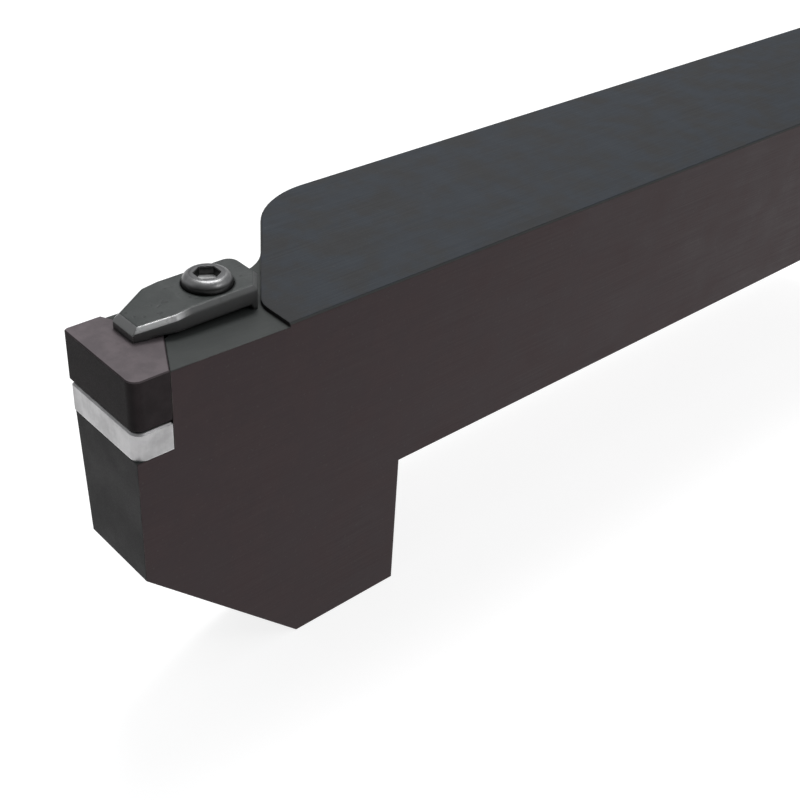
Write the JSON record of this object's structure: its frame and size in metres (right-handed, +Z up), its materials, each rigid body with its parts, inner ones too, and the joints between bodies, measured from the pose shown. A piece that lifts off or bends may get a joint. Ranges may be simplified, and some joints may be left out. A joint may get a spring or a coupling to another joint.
{
  "type": "turning tool holder",
  "caption": "Square-shank turning tool holder with a narrow deep-bellied head, a block insert on a shim and a screwed finger clamp that lifts on a spring.",
  "frame": {"origin": "middle of the shank's underside seat, on the shank's middle plane, halfway from the belly's rear wall to the rear end", "axes": "+Y along the shank from the cutting head to the rear end, +Z up from the shank's underside towards the insert's top, +X to the right-hand side face that head and shank share"},
  "size_m": [0.025, 0.1499, 0.0468],
  "materials": {
    "black_oxide_steel": "blackened milled steel, satin",
    "bare_carbide": "ground cemented carbide, bare, fine matt grey",
    "coated_carbide": "dark coated cutting grade, fine satin",
    "dark_clamp_steel": "blackened forged steel with rubbed edges",
    "dark_screw_steel": "blackened screw steel, satin",
    "spring_steel": "bright drawn spring wire"
  },
  "bodies": {
    "holder": {"holder": "black_oxide_steel", "shim": "bare_carbide", "shim_screw": "dark_screw_steel", "insert": "coated_carbide", "clamp_spring": "spring_steel"},
    "clamp": {"clamp": "dark_clamp_steel"},
    "clamp_screw": {"clamp_screw": "dark_screw_steel"}
  },
  "joints": [
    {"name": "clamp_lift", "type": "slide", "parent": "holder", "child": "clamp", "axis": [0, 0, 1], "range_m": [0, 0.0021], "deforming": ["clamp_spring"]},
    {"name": "clamp_screw_turn", "type": "hinge", "parent": "clamp", "child": "clamp_screw", "pos_m": [0.004, -0.07795, 0.0272], "axis": [0, 0, 1], "range_deg": [0, 1080]}
  ],
  "couplings": [
    {"joint": "clamp_screw_turn", "follows": "clamp_lift", "rad_per_m": 8976}
  ]
}
